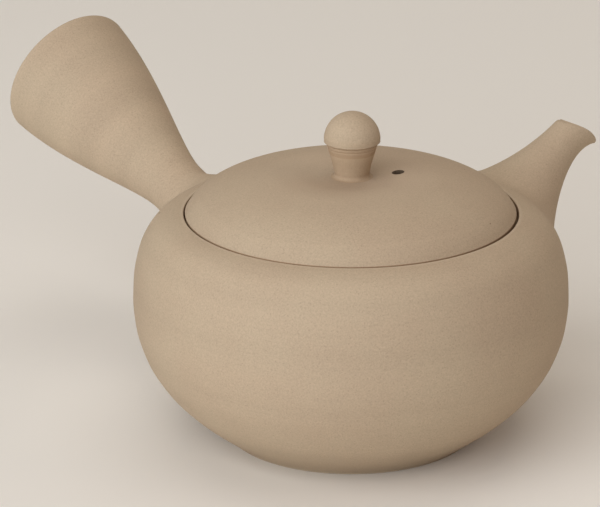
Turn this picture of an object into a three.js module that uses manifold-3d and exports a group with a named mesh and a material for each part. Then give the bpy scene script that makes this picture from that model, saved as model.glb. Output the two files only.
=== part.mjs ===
import * as THREE from 'three';
import { mergeVertices } from 'three/addons/utils/BufferGeometryUtils.js';
import Module from 'manifold-3d';

// A side-handled teapot in unglazed stoneware: thrown body, spout, hollow handle and clay
// strainer, joined as leather-hard clay, with a loose lid that carries its own knob.
// Millimetres, +Z up. The origin is the centre of the flat foot, the spout points along +X
// and the handle along +Y.

// Pot body
const footRadius = 33.2;
const footBevel = 0.5;
const footFlareAngle = 38; // degrees above level at which the wall leaves the foot
const footFlareReach = 10.3;
const bellyRadius = 57.5;
const bellyHeight = 37.8;
const bellyReachDown = 21.7;
const bellyReachUp = 11.9;
const rimRadius = 44;
const rimHeight = 61.1;
const rimEdge = 0.4;
const shoulderReach = 9.2;
const bodyWall = 3.2;
const floorThickness = 3.8;
const floorCornerRise = 2.4;
const floorCornerReach = 6.2;

// Seat for the lid, a step cut inside the rim
const seatDepth = 2.8;
const ledgeWidth = 4.5;
const ledgeThickness = 2.6;
const seatGap = 0.1;

// Lid
const lidClearance = 0.5; // between the lid's edge and the wall of the seat
const lidProud = 0.25; // how far that edge stands above the rim
const lidUndercut = 0.5; // how far the side of the lid slopes in below its edge
const lidEdge = 0.2;
const lidEdgeAngle = 66; // degrees above level at which the dome leaves the edge
const lidEdgeReach = 7.9;
const lidCrestRadius = 18.5;
const lidCrestReach = 6.5;
const lidCrestRise = 10.5; // above the rim
const lidDishRise = 9.8; // above the rim, where the knob stands
const lidWall = 3;
const flangeClearance = 0.6;
const flangeWall = 2.6;
const flangeDepth = 6.5;
const flangeChamfer = 0.6;
const ventRadius = 1.65;
const ventFromAxis = 12.6;
const ventAngle = -28.5; // degrees from the spout

// Knob
const knobGap = 0.1;
const knobFootRadius = 6.2;
const knobFootEdge = 0.2;
const knobFootFillet = 1.6;
const knobNeckRadius = 4.45;
const knobNeckHeight = 8.9;
const knobNeckReachLow = 2.4;
const knobNeckReachTop = 2.5;
const knobCollarRadius = 6.85;
const knobCollarHeight = 0.7;
const knobGrooveDepth = 0.15;
const knobBallRadius = 7.4;
const knobBallUndercut = 4; // degrees below the widest ring where the ball is trimmed off

// Strainer, a pierced dome set into a hole in the wall behind the spout
const strainerHoleRadius = 10;
const strainerHeight = 45;
const strainerTilt = 11; // degrees that its axis rises towards the spout
const strainerClearance = 0.3;
const strainerDomeRadius = 10.4;
const strainerWall = 1.8;
const strainerInset = 0.8; // from the middle of the wall in to the collar's outer end
const strainerCollar = 2.4;
const strainerHoleBore = 1.8;
const strainerHoleTaper = 0.3;
const strainerHolePitch = 2.7;

// Spout: an upper and a lower edge in the plane of symmetry, and a half width across it
const spoutTopRoot = [50, 60.5];
const spoutTopRootAngle = 17;
const spoutTopRootReach = 7.4;
const spoutTopTip = [73.8, 71.4];
const spoutTopTipAngle = 36;
const spoutTopTipReach = 6.7;
const spoutLowRoot = [57.4, 31.8];
const spoutLowRootAngle = 54.5;
const spoutLowRootReach = 18;
const spoutLowTip = [84.4, 63.1];
const spoutLowTipAngle = -2.3;
const spoutLowTipReach = 10.9;
const spoutHalfWidths = [19.8, 7.7, 4.3, 5.5]; // control values from root to mouth
const spoutWall = 2.4;
const spoutLipWall = 1.4;
const spoutLipRise = 0.45;
const spoutMouthArch = 1; // how far the sides of the mouth stand above its two ends
const spoutMouthArchPower = 3; // the higher, the flatter the sides and the shorter the two ends

// Handle: a hollow trumpet on a straight axis that rises away from the body
const handleRise = 21.2; // degrees
const handleAxisHeight = 17.9; // where the axis would cross the pot's own axis
const handleRootAt = 57;
const handleRootRadius = 16.5;
const handleRootReach = 7;
const handleRootFlare = 1.5; // pull of the root's curve, above the radius of the neck
const handleRootDraw = 7; // how far the underside of the root is drawn in to follow the belly
const handleNeckAt = 82;
const handleNeckRadius = 8.2;
const handleNeckReach = 12;
const handleMouthAt = 139;
const handleMouthRadius = 19.8;
const handleMouthReach = 22;
const handleMouthAngle = 3.5;
const handleWall = 2.8;
const handleLipRound = 0.9;

// Joints of spout and handle with the body
const lutingGap = 0.3;
const rootOverrun = 8; // how far both roots run on into the body before they are trimmed

// Drills are this many walls long
const drillReach = 4;

// Flat sides round each piece and straight parts along each line
const sides = { body: 50, lid: 44, vent: 16, knob: 22, tube: 24, strainer: 18, perforation: 6 };
const parts = {
  body: 7, envelope: 12, floorCorner: 3, lid: 7, lidUnder: 5, knobNeck: 4, knobBall: 10,
  dome: 4, spout: 13, spoutBore: 9, handle: 8, handleBore: 7, lip: 4,
};
const clay = {
  body: 0xb6a38a, spout: 0xad997f, handle: 0xc3ae96, strainer: 0xa9957c, lid: 0xb9a48f, knob: 0xb49f83,
};
const clayRoughness = 0.92;

const radians = THREE.MathUtils.degToRad;
const wasm = await Module();
wasm.setup();

const point = (x, y) => new THREE.Vector2(x, y);

// A step of a given length from a point, at an angle in degrees
function away([x, y], angle, reach) {
  return point(x + reach * Math.cos(radians(angle)), y + reach * Math.sin(radians(angle)));
}

function bezier(start, startPull, endPull, end) {
  return new THREE.CubicBezierCurve(start, startPull, endPull, end);
}

// Points along curves that follow each other, moved sideways to the right of travel by offset
function trace(curves, count, offset = 0) {
  const points = [];
  curves.forEach((curve, which) => {
    for (let i = which === 0 ? 0 : 1; i <= count; i++) {
      const place = curve.getPoint(i / count);
      const along = curve.getTangent(i / count);
      points.push(point(place.x + offset * along.y, place.y - offset * along.x));
    }
  });
  return points;
}

// The stretch of a rising wall line between two heights, cut exactly at both
function between(points, low, high) {
  const crossing = (a, b, y) => a.clone().lerp(b, (y - a.y) / (b.y - a.y));
  const kept = [];
  for (let i = 0; i < points.length - 1; i++) {
    const [a, b] = [points[i], points[i + 1]];
    if (a.y < low && b.y > low) kept.push(crossing(a, b, low));
    if (a.y >= low && a.y <= high) kept.push(a);
    if (a.y < high && b.y > high) kept.push(crossing(a, b, high));
  }
  return kept;
}

// Manifold solid of a closed geometry
function solidOf(geometry) {
  const bare = new THREE.BufferGeometry();
  bare.setAttribute('position', geometry.getAttribute('position'));
  bare.setIndex(geometry.getIndex());
  const merged = mergeVertices(bare);
  const index = merged.getIndex().array;
  const corners = [];
  for (let i = 0; i < index.length; i += 3) {
    const [a, b, c] = index.slice(i, i + 3);
    if (a !== b && b !== c && c !== a) corners.push(a, b, c);
  }
  const vertProperties = merged.getAttribute('position').array;
  return new wasm.Manifold(new wasm.Mesh({ numProp: 3, vertProperties, triVerts: new Uint32Array(corners) }));
}

function geometryOf(solid) {
  const mesh = solid.getMesh();
  const geometry = new THREE.BufferGeometry();
  geometry.setAttribute('position', new THREE.BufferAttribute(mesh.vertProperties, 3));
  geometry.setIndex(new THREE.BufferAttribute(mesh.triVerts, 1));
  geometry.computeVertexNormals();
  return geometry;
}

// Solid of revolution about Z from a line of (radius, height) points
function revolve(profile, segments) {
  return solidOf(new THREE.LatheGeometry(profile, segments).rotateX(Math.PI / 2));
}

// Closed skin over a loop of equal rings: out along the outside, over the lip, back inside
function tube(rings) {
  const around = rings[0].length;
  const positions = rings.flat().flatMap((p) => [p.x, p.y, p.z]);
  const index = [];
  rings.forEach((ring, i) => {
    const next = ((i + 1) % rings.length) * around;
    for (let j = 0; j < around; j++) {
      const k = (j + 1) % around;
      index.push(i * around + j, next + k, next + j);
      index.push(i * around + j, i * around + k, next + k);
    }
  });
  const geometry = new THREE.BufferGeometry();
  geometry.setAttribute('position', new THREE.Float32BufferAttribute(positions, 3));
  geometry.setIndex(index);
  return solidOf(geometry);
}

// The outside line of the body, foot to rim
const foot = point(footRadius, footBevel);
const belly = point(bellyRadius, bellyHeight);
const rim = point(rimRadius + rimEdge, rimHeight);
const bodyLine = [
  bezier(foot, away(foot.toArray(), footFlareAngle, footFlareReach),
    point(bellyRadius, bellyHeight - bellyReachDown), belly),
  bezier(belly, point(bellyRadius, bellyHeight + bellyReachUp),
    point(rim.x + shoulderReach, rimHeight), rim),
];
const ledgeHeight = rimHeight - seatDepth;
const mouthRadius = rimRadius - ledgeWidth;

// The body's outside grown by the luting gap, which trims the roots of spout and handle
function bodyEnvelope() {
  const side = trace(bodyLine, parts.envelope, lutingGap);
  const line = [point(0, side[0].y), ...side, point(0, rimHeight + lutingGap)];
  return revolve(line, sides.body);
}

function strainerPlace() {
  const mid = between(trace(bodyLine, 2 * parts.envelope, -bodyWall / 2), strainerHeight, rimHeight)[0];
  const inwards = new THREE.Vector3(-Math.cos(radians(strainerTilt)), 0, -Math.sin(radians(strainerTilt)));
  return {
    position: new THREE.Vector3(mid.x, 0, mid.y),
    quaternion: new THREE.Quaternion().setFromUnitVectors(new THREE.Vector3(0, 0, 1), inwards),
  };
}

function makeBody() {
  const outside = trace(bodyLine, parts.body);
  const underLedge = ledgeHeight - ledgeThickness;
  const cornerTop = floorThickness + floorCornerRise;
  const inside = between(trace(bodyLine, parts.body, -bodyWall), cornerTop, underLedge).reverse();
  const wallEnd = inside[inside.length - 1];
  const corner = new THREE.QuadraticBezierCurve(wallEnd,
    point(wallEnd.x - floorCornerReach / 2, floorThickness),
    point(wallEnd.x - floorCornerReach, floorThickness));
  const profile = [
    point(0, 0),
    point(footRadius - footBevel, 0),
    ...outside,
    point(rimRadius, rimHeight - rimEdge),
    point(rimRadius, ledgeHeight),
    point(mouthRadius, ledgeHeight),
    point(mouthRadius, underLedge),
    ...inside,
    ...trace([corner], parts.floorCorner).slice(1),
    point(0, floorThickness),
  ];
  const { position, quaternion } = strainerPlace();
  const drill = new THREE.CylinderGeometry(strainerHoleRadius, strainerHoleRadius, bodyWall * drillReach,
    sides.strainer).rotateX(Math.PI / 2).applyQuaternion(quaternion).translate(...position);
  return revolve(profile, sides.body).subtract(solidOf(drill));
}

// Holes in rings round the pole of the dome, each on a radius of its sphere
function strainerHoles(centreHeight, halfAngle) {
  const stepAngle = strainerHolePitch / strainerDomeRadius;
  const bore = new THREE.CylinderGeometry(strainerHoleBore / 2 + strainerHoleTaper, strainerHoleBore / 2,
    strainerWall * drillReach, sides.perforation)
    .rotateX(Math.PI / 2).translate(0, 0, strainerDomeRadius - strainerWall / 2);
  const ringCount = Math.floor((halfAngle - stepAngle / 2) / stepAngle);
  const holes = [];
  for (let ring = 0; ring <= ringCount; ring++) {
    const lean = ring * stepAngle;
    const count = Math.max(1, Math.floor((2 * Math.PI * Math.sin(lean)) / stepAngle));
    for (let i = 0; i < count; i++) {
      const turn = ((i + ring / 2) / count) * 2 * Math.PI;
      holes.push(solidOf(bore.clone().rotateY(lean).rotateZ(turn).translate(0, 0, centreHeight)));
    }
  }
  return wasm.Manifold.union(holes);
}

function makeStrainer() {
  const outer = strainerHoleRadius - strainerClearance;
  const halfAngle = Math.asin(outer / strainerDomeRadius);
  const inner = strainerDomeRadius - strainerWall;
  const innerAngle = Math.asin((outer - strainerWall) / inner);
  const domeBase = strainerInset + strainerCollar;
  const centreHeight = domeBase - strainerDomeRadius * Math.cos(halfAngle);
  const arc = (radius, from, to) => trace([new THREE.EllipseCurve(0, centreHeight, radius, radius,
    Math.PI / 2 - from, Math.PI / 2 - to, from < to)], parts.dome);
  const profile = [
    ...arc(inner, 0, innerAngle),
    point(outer - strainerWall, strainerInset),
    point(outer, strainerInset),
    ...arc(strainerDomeRadius, halfAngle, 0),
  ];
  profile[0].x = 0;
  profile[profile.length - 1].x = 0;
  return revolve(profile, sides.strainer).subtract(strainerHoles(centreHeight, halfAngle));
}

// Rings of the spout, shrunk by a wall that thins from root to mouth
function spoutRings(count, shrinkRoot, shrinkMouth, rise) {
  const top = bezier(point(...spoutTopRoot), away(spoutTopRoot, spoutTopRootAngle, spoutTopRootReach),
    away(spoutTopTip, spoutTopTipAngle, -spoutTopTipReach), point(...spoutTopTip));
  const low = bezier(point(...spoutLowRoot), away(spoutLowRoot, spoutLowRootAngle, spoutLowRootReach),
    away(spoutLowTip, spoutLowTipAngle, -spoutLowTipReach), point(...spoutLowTip));
  const width = bezier(...spoutHalfWidths.map((w, i) => point(i / 3, w)));
  const rings = [];
  for (let i = 0; i <= count; i++) {
    const s = i / count;
    const [u, l] = [top.getPoint(s), low.getPoint(s)];
    const middle = u.clone().add(l).multiplyScalar(0.5);
    const half = u.clone().sub(middle);
    const shrink = THREE.MathUtils.lerp(shrinkRoot, shrinkMouth, s);
    const out = point(half.y, -half.x).normalize();
    const up = half.clone().setLength(half.length() - shrink);
    const across = width.getPoint(s).y - shrink;
    const ring = [];
    for (let j = 0; j < sides.tube; j++) {
      const turn = (j / sides.tube) * 2 * Math.PI;
      const arch = 1 - Math.abs(Math.cos(turn)) ** spoutMouthArchPower;
      const lift = rise * s + spoutMouthArch * s ** 4 * arch;
      const flat = middle.clone().addScaledVector(up, Math.cos(turn)).addScaledVector(out, lift);
      ring.push(new THREE.Vector3(flat.x, -across * Math.sin(turn), flat.y));
    }
    rings.push(ring);
  }
  const sunk = rings[0].map((p) => p.clone().add(new THREE.Vector3(-rootOverrun, 0, 0)));
  return [sunk, ...rings];
}

function makeSpout() {
  const outside = spoutRings(parts.spout, 0, 0, 0);
  const lip = spoutRings(1, 0, spoutLipWall / 2, spoutLipRise).pop();
  const inside = spoutRings(parts.spoutBore, spoutWall, spoutLipWall, 0).reverse();
  return tube([...outside, lip, ...inside]).subtract(bodyEnvelope());
}

// Outline of the handle as (distance along the axis, radius)
function handleLine(shrink) {
  const neck = point(handleNeckAt, handleNeckRadius - shrink);
  const mouth = [handleMouthAt, handleMouthRadius - shrink];
  return [
    bezier(point(handleRootAt, handleRootRadius - shrink),
      point(handleRootAt + handleRootReach, neck.y + handleRootFlare),
      point(handleNeckAt - handleNeckReach, neck.y), neck),
    bezier(neck, point(handleNeckAt + handleNeckReach, neck.y),
      away(mouth, handleMouthAngle, -handleMouthReach), point(...mouth)),
  ];
}

// A ring of the handle at a distance along its axis
function handleRing({ x: reach, y: radius }) {
  const rise = radians(handleRise);
  const along = new THREE.Vector3(0, Math.cos(rise), Math.sin(rise));
  const upward = new THREE.Vector3(0, -Math.sin(rise), Math.cos(rise));
  const towardsRoot = Math.max(0, (handleNeckAt - reach) / (handleNeckAt - handleRootAt));
  const ring = [];
  for (let j = 0; j < sides.tube; j++) {
    const turn = (j / sides.tube) * 2 * Math.PI;
    const below = Math.max(0, -Math.cos(turn));
    const drawn = handleRootDraw * (towardsRoot * below) ** 3;
    ring.push(new THREE.Vector3(radius * Math.sin(turn), 0, handleAxisHeight)
      .addScaledVector(along, reach - drawn).addScaledVector(upward, radius * Math.cos(turn)));
  }
  return ring;
}

function makeHandle() {
  const outside = trace(handleLine(0), parts.handle).slice(0, -1).map(handleRing);
  const inside = trace(handleLine(handleWall), parts.handleBore).reverse().slice(1).map(handleRing);
  const rounded = new THREE.EllipseCurve(handleMouthAt - handleLipRound, handleMouthRadius - handleWall / 2,
    handleLipRound, handleWall / 2, Math.PI / 2, -Math.PI / 2, true);
  const lip = trace([rounded], parts.lip).map(handleRing);
  const rise = radians(handleRise);
  const inwards = new THREE.Vector3(0, -Math.cos(rise), -Math.sin(rise)).multiplyScalar(rootOverrun);
  const sunk = (ring) => ring.map((p) => p.clone().add(inwards));
  const rings = [sunk(outside[0]), ...outside, ...lip, ...inside, sunk(inside[inside.length - 1])];
  return tube(rings).subtract(bodyEnvelope());
}

// The dome of the lid from edge to crest and down into the shallow dish round the knob
const lidRadius = rimRadius - lidClearance;
const lidFaceEdge = [lidRadius - lidEdge, rimHeight + lidProud];
const lidCrest = point(lidCrestRadius, rimHeight + lidCrestRise);
const dishHeight = rimHeight + lidDishRise;
const lidLine = [
  bezier(point(...lidFaceEdge), away(lidFaceEdge, 180 - lidEdgeAngle, lidEdgeReach),
    point(lidCrestRadius + lidCrestReach, lidCrest.y), lidCrest),
  bezier(lidCrest, point(lidCrestRadius - lidCrestReach, lidCrest.y),
    point(knobFootRadius + lidCrestReach, dishHeight), point(knobFootRadius, dishHeight)),
];

function makeLid() {
  const base = ledgeHeight + seatGap;
  const flangeRadius = mouthRadius - flangeClearance;
  const flangeInside = flangeRadius - flangeWall;
  const flangeBottom = ledgeHeight - flangeDepth;
  const under = trace(lidLine, parts.lidUnder, -lidWall).filter((p) => p.x < flangeInside).reverse();
  const profile = [
    point(0, under[0].y),
    ...under,
    point(flangeInside, under[under.length - 1].y - lidWall / 2),
    point(flangeInside, flangeBottom + flangeChamfer),
    point(flangeInside + flangeChamfer, flangeBottom),
    point(flangeRadius - flangeChamfer, flangeBottom),
    point(flangeRadius, flangeBottom + flangeChamfer),
    point(flangeRadius, base),
    point(lidRadius - lidUndercut, base),
    point(lidRadius, lidFaceEdge[1] - lidEdge),
    ...trace(lidLine, parts.lid),
    point(0, dishHeight),
  ];
  const [x, y] = away([0, 0], ventAngle, ventFromAxis).toArray();
  const vent = new THREE.CylinderGeometry(ventRadius, ventRadius, lidWall * drillReach, sides.vent)
    .rotateX(Math.PI / 2).translate(x, y, dishHeight);
  return revolve(profile, sides.lid).subtract(solidOf(vent));
}

function makeKnob() {
  const base = dishHeight + knobGap;
  const neckTop = base + knobNeckHeight;
  const collarTop = neckTop + knobCollarHeight;
  const undercut = radians(knobBallUndercut);
  const ballHeight = collarTop + knobBallRadius * Math.sin(undercut);
  const neckFoot = point(knobNeckRadius, base + knobFootFillet);
  const neck = bezier(neckFoot, point(knobNeckRadius, neckFoot.y + knobNeckReachLow),
    point(knobCollarRadius - knobCollarHeight, neckTop - knobNeckReachTop),
    point(knobCollarRadius - knobGrooveDepth, neckTop));
  const ball = new THREE.EllipseCurve(0, ballHeight, knobBallRadius, knobBallRadius, -undercut, Math.PI / 2);
  const footTop = point(knobFootRadius, base + knobFootEdge);
  const fillet = new THREE.QuadraticBezierCurve(footTop, point(knobNeckRadius, footTop.y), neckFoot);
  const profile = [
    point(0, base),
    point(knobFootRadius, base),
    ...trace([fillet, neck], parts.knobNeck),
    point(knobCollarRadius, neckTop + knobCollarHeight / 3),
    point(knobCollarRadius - knobGrooveDepth, neckTop + knobCollarHeight / 2),
    point(knobCollarRadius + knobGrooveDepth, neckTop + knobCollarHeight * 2 / 3),
    point(knobCollarRadius, collarTop),
    ...trace([ball], parts.knobBall),
  ];
  profile[profile.length - 1].x = 0;
  return revolve(profile, sides.knob);
}

function piece(name, solid, color) {
  const material = new THREE.MeshStandardMaterial({ color, roughness: clayRoughness, metalness: 0 });
  const mesh = new THREE.Mesh(geometryOf(solid), material);
  mesh.name = name;
  return mesh;
}

const pot = new THREE.Group();
const strainer = piece('strainer', makeStrainer(), clay.strainer);
const { position, quaternion } = strainerPlace();
strainer.position.copy(position);
strainer.quaternion.copy(quaternion);
pot.add(
  piece('vessel_body', makeBody(), clay.body),
  piece('spout', makeSpout(), clay.spout),
  piece('handle', makeHandle(), clay.handle),
  strainer,
);

const lid = new THREE.Group();
lid.add(
  piece('lid', makeLid(), clay.lid),
  piece('lid_knob', makeKnob(), clay.knob),
);

const kyusu = new THREE.Group();
kyusu.add(pot, lid);

export default kyusu;
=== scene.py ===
import bpy
import math
import numpy as np
from functools import partial
from mathutils import Matrix, Vector
from mathutils.bvhtree import BVHTree
from types import SimpleNamespace


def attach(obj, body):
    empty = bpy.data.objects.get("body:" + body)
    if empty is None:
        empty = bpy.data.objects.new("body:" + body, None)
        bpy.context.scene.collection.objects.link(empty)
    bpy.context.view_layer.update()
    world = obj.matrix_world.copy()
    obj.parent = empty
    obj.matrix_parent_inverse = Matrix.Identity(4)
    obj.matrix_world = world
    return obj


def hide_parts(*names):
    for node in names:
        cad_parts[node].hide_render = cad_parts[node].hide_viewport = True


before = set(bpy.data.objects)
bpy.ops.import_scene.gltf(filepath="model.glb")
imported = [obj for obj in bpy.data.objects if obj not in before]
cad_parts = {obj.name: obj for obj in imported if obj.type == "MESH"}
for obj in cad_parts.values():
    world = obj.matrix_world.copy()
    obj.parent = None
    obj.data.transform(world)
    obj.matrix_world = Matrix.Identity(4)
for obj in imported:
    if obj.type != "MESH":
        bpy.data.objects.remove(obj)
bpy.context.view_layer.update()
scene = bpy.context.scene
mm = 0.001


def away(place, angle, reach):  # a step at an angle in degrees
    turn = math.radians(angle)
    return (place[0] + reach * math.cos(turn), place[1] + reach * math.sin(turn))


def bezierAt(t, a, b, c, d):  # places at the shares t of a curve with four control points
    t = np.asarray(t)[:, None]
    a, b, c, d = (np.array(p, float) for p in (a, b, c, d))
    return (1 - t) ** 3 * a + 3 * (1 - t) ** 2 * t * b + 3 * (1 - t) * t ** 2 * c + t ** 3 * d


def bezier(start, pullStart, pullEnd, end, count):
    return bezierAt(np.linspace(0, 1, count + 1), start, pullStart, pullEnd, end)


def arc(centre, radius, fromAngle, toAngle, count):
    turn = np.radians(np.linspace(fromAngle, toAngle, count + 1))
    return np.stack([centre[0] + radius * np.cos(turn), centre[1] + radius * np.sin(turn)], 1)


def offsetLine(line, distance):  # to the left of travel where distance is above 0
    along = np.gradient(line, axis=0)
    along /= np.linalg.norm(along, axis=1)[:, None]
    return line + distance * np.stack([-along[:, 1], along[:, 0]], 1)


def softCorner(before, corner, after, reach, count=4):  # a corner rounded off over reach
    corner = np.array(corner, float)
    ways = [np.array(p, float) - corner for p in (before, after)]
    start, end = (corner + reach * w / np.linalg.norm(w) for w in ways)
    t = np.linspace(0, 1, count + 1)[:, None]
    return (1 - t) ** 2 * start + 2 * (1 - t) * t * corner + t ** 2 * end


def joined(*parts):  # one line of (radius, height) from points and lines, repeats left out
    points = np.concatenate([np.atleast_2d(np.array(p, float)) for p in parts])
    keep = np.r_[True, np.linalg.norm(np.diff(points, axis=0), axis=1) > 1e-4]
    return points[keep]


def addMesh(name, mesh):
    piece = bpy.data.objects.new(name, mesh)
    scene.collection.objects.link(piece)
    return piece


def signedVolume(mesh):
    mesh.calc_loop_triangles()
    places = np.array([v.co for v in mesh.vertices])
    corners = np.array([t.vertices for t in mesh.loop_triangles])
    a, b, c = (places[corners[:, i]] for i in range(3))
    return float(np.einsum("ij,ij->i", a, np.cross(b, c)).sum() / 6)


def faceOutwards(mesh):
    if signedVolume(mesh) < 0:
        mesh.flip_normals()
    for face in mesh.polygons:
        face.use_smooth = True
    mesh.update()


def baked(piece, name):  # the evaluated piece as a plain mesh object, in place of the piece
    view = bpy.context.evaluated_depsgraph_get()
    mesh = bpy.data.meshes.new_from_object(piece.evaluated_get(view))
    mesh.name = name
    bpy.data.objects.remove(piece)
    faceOutwards(mesh)
    return addMesh(name, mesh)


def ringSkin(name, rows):  # closed skin over a loop of rows, each an array of places in millimetres
    rows = np.array(rows)
    count, around = rows.shape[:2]
    i, j = np.meshgrid(np.arange(count), np.arange(around), indexing="ij")
    row, rowAfter = i * around, (i + 1) % count * around
    sideAfter = (j + 1) % around
    faces = np.stack([row + j, row + sideAfter, rowAfter + sideAfter, rowAfter + j], -1)
    mesh = bpy.data.meshes.new(name)
    mesh.from_pydata((rows.reshape(-1, 3) * mm).tolist(), [], faces.reshape(-1, 4).tolist())
    faceOutwards(mesh)
    return addMesh(name, mesh)


def addNode(tree, kind, inputs=None, **settings):
    made = tree.nodes.new(kind)
    for key, value in settings.items():
        setattr(made, key, value)
    for key, value in (inputs or {}).items():
        if isinstance(value, bpy.types.NodeSocket):
            tree.links.new(value, made.inputs[key])
        else:
            made.inputs[key].default_value = value
    return made


def maths(tree, operation, *values, clamp=False):
    made = addNode(tree, "ShaderNodeMath", dict(enumerate(values)), operation=operation, use_clamp=clamp)
    return made.outputs[0]


def sums(tree):  # short calls for the sums that these trees are full of
    kinds = {"add": "ADD", "take": "SUBTRACT", "times": "MULTIPLY", "over": "DIVIDE"}
    return SimpleNamespace(**{name: partial(maths, tree, kind) for name, kind in kinds.items()})


def scaled(tree, vector, factor):
    return addNode(tree, "ShaderNodeVectorMath", {0: vector, "Scale": factor}, operation="SCALE").outputs[0]


def newTree(name, kind, inputs, outputs):  # sockets as (label, kind of socket)
    tree = bpy.data.node_groups.new(name, kind)
    for way, sockets in (("INPUT", inputs), ("OUTPUT", outputs)):
        for label, socket in sockets:
            tree.interface.new_socket(name=label, in_out=way, socket_type="NodeSocket" + socket)
    given, out = tree.nodes.new("NodeGroupInput").outputs, tree.nodes.new("NodeGroupOutput").inputs
    return tree, sums(tree), given, out


def finishForm(tree, form, clay, out):
    real = addNode(tree, "GeometryNodeRealizeInstances", {"Geometry": form})
    clayed = addNode(tree, "GeometryNodeSetMaterial", {"Geometry": real.outputs[0], "Material": clay})
    tree.links.new(clayed.outputs[0], out)


def thrownFormTree():
    tree, do, given, out = newTree("thrownForm", "GeometryNodeTree", [
        ("Line", "Geometry"), ("Line Points", "Int"), ("Sides", "Int"), ("Ring Spacing", "Float"),
        ("Ring Depth", "Float"), ("Hand Wobble", "Float"), ("Seed", "Float"), ("Clay", "Material")],
        [("Form", "Geometry")])
    index = tree.nodes.new("GeometryNodeInputIndex").outputs[0]
    place = tree.nodes.new("GeometryNodeInputPosition").outputs[0]
    grid = addNode(tree, "GeometryNodeMeshGrid", {
        "Vertices X": do.add(given["Sides"], 1), "Vertices Y": given["Line Points"]})
    row = maths(tree, "MODULO", index, given["Line Points"])
    column = maths(tree, "FLOOR", do.over(index, given["Line Points"]))
    turn = do.times(do.over(column, given["Sides"]), 2 * math.pi)
    onLine = addNode(tree, "GeometryNodeSampleIndex", {
        "Geometry": given["Line"], "Value": place, "Index": row}, data_type="FLOAT_VECTOR", domain="POINT")
    turned = addNode(tree, "ShaderNodeVectorRotate", {"Vector": onLine.outputs[0], "Angle": turn},
                     rotation_type="Z_AXIS")
    swept = addNode(tree, "GeometryNodeSetPosition", {
        "Geometry": grid.outputs["Mesh"], "Position": turned.outputs[0]})
    closed = addNode(tree, "GeometryNodeMergeByDistance", {"Geometry": swept.outputs[0], "Distance": 2e-6})
    # Fingers leave rings as the form rises, and nothing thrown by hand is quite round
    parts = addNode(tree, "ShaderNodeSeparateXYZ", {"Vector": place}).outputs
    phase = do.times(do.over(parts["Z"], given["Ring Spacing"]), 2 * math.pi)
    rings = do.times(maths(tree, "SINE", do.add(phase, given["Seed"])), given["Ring Depth"])
    uneven = addNode(tree, "ShaderNodeTexNoise", {
        "Vector": place, "W": given["Seed"], "Scale": 16.0, "Detail": 1.0}, noise_dimensions="4D")
    wobble = do.times(do.take(uneven.outputs[0], 0.5), given["Hand Wobble"])
    outwards = addNode(tree, "ShaderNodeCombineXYZ", {"X": parts["X"], "Y": parts["Y"]})
    fromAxis = addNode(tree, "ShaderNodeVectorMath", {0: outwards.outputs[0]}, operation="NORMALIZE")
    offset = scaled(tree, fromAxis.outputs[0], do.add(rings, wobble))
    shaped = addNode(tree, "GeometryNodeSetPosition", {"Geometry": closed.outputs[0], "Offset": offset})
    finishForm(tree, shaped.outputs[0], given["Clay"], out[0])
    return tree


def setInputs(modifier, values):  # by identifier, looked up from the names
    for item in modifier.node_group.interface.items_tree:
        if item.item_type == "SOCKET" and item.in_out == "INPUT" and item.name in values:
            modifier[item.identifier] = values[item.name]


def throwForm(name, line, values):  # smooth and round where the values name no rings or wobble
    mesh = bpy.data.meshes.new(name)
    places = [(r * mm, 0, z * mm) for r, z in line]
    mesh.from_pydata(places, [(i, i + 1) for i in range(len(places) - 1)], [])
    piece = addMesh(name + "Line", mesh)
    wheel = piece.modifiers.new("wheel", "NODES")
    wheel.node_group = thrownForm
    plain = {"Ring Spacing": 1.0, "Ring Depth": 0.0, "Hand Wobble": 0.0}
    setInputs(wheel, {"Line Points": len(places), **plain, **values})
    return baked(piece, name)


def cutAway(piece, cutter, name):
    cut = piece.modifiers.new("cut", "BOOLEAN")
    cut.operation, cut.solver, cut.object, cut.material_mode = "DIFFERENCE", "EXACT", cutter, "TRANSFER"
    made = baked(piece, name)
    bpy.data.objects.remove(cutter)
    return made


def ontoWall(places, wall):  # nearest places on a wall turned round Z, their normals, and heights above it
    radius = np.hypot(places[..., 0], places[..., 1])
    flat = np.stack([radius, places[..., 2]], -1).reshape(-1, 2)
    start, step = wall[:-1], np.diff(wall, axis=0)
    best = np.full(len(flat), np.inf)
    foot = np.zeros_like(flat)
    normal = np.zeros_like(flat)
    for a, d in zip(start, step):
        t = np.clip(((flat - a) @ d) / (d @ d), 0, 1)
        near = a + t[:, None] * d
        gap = np.linalg.norm(flat - near, axis=1)
        closer = gap < best
        best[closer] = gap[closer]
        foot[closer] = near[closer]
        normal[closer] = np.array([d[1], -d[0]]) / np.linalg.norm(d)
    height = ((flat - foot) * normal).sum(1).reshape(radius.shape)
    around = np.stack([places[..., 0], places[..., 1]], -1) / np.maximum(radius, 1e-6)[..., None]
    foot, normal = foot.reshape(*radius.shape, 2), normal.reshape(*radius.shape, 2)

    def turnedBack(flatPlaces):
        return np.concatenate([around * flatPlaces[..., :1], flatPlaces[..., 1:]], -1)

    return turnedBack(foot), turnedBack(normal), height


luting = {
    "skirtRows": 20, "hiddenRows": 3, "sink": 0.05, "lift": 0.006, "liftAbove": 0.02, "edgeReach": 0.04,
    "followHeight": 5.0,
}


def alongRail(rail, lengths, reach):  # the place at a distance along a rail
    return np.array([np.interp(reach, lengths, rail[:, k]) for k in range(3)])


def railMeets(rail, heights, level):  # a rail's lengths, and the one where it comes down to a level
    i = int(np.argmax(heights < level))
    lengths = np.r_[0, np.cumsum(np.linalg.norm(np.diff(rail, axis=0), axis=1))]
    share = (heights[i - 1] - level) / (heights[i - 1] - heights[i])
    return lengths, lengths[i - 1] + share * (lengths[i] - lengths[i - 1])


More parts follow.
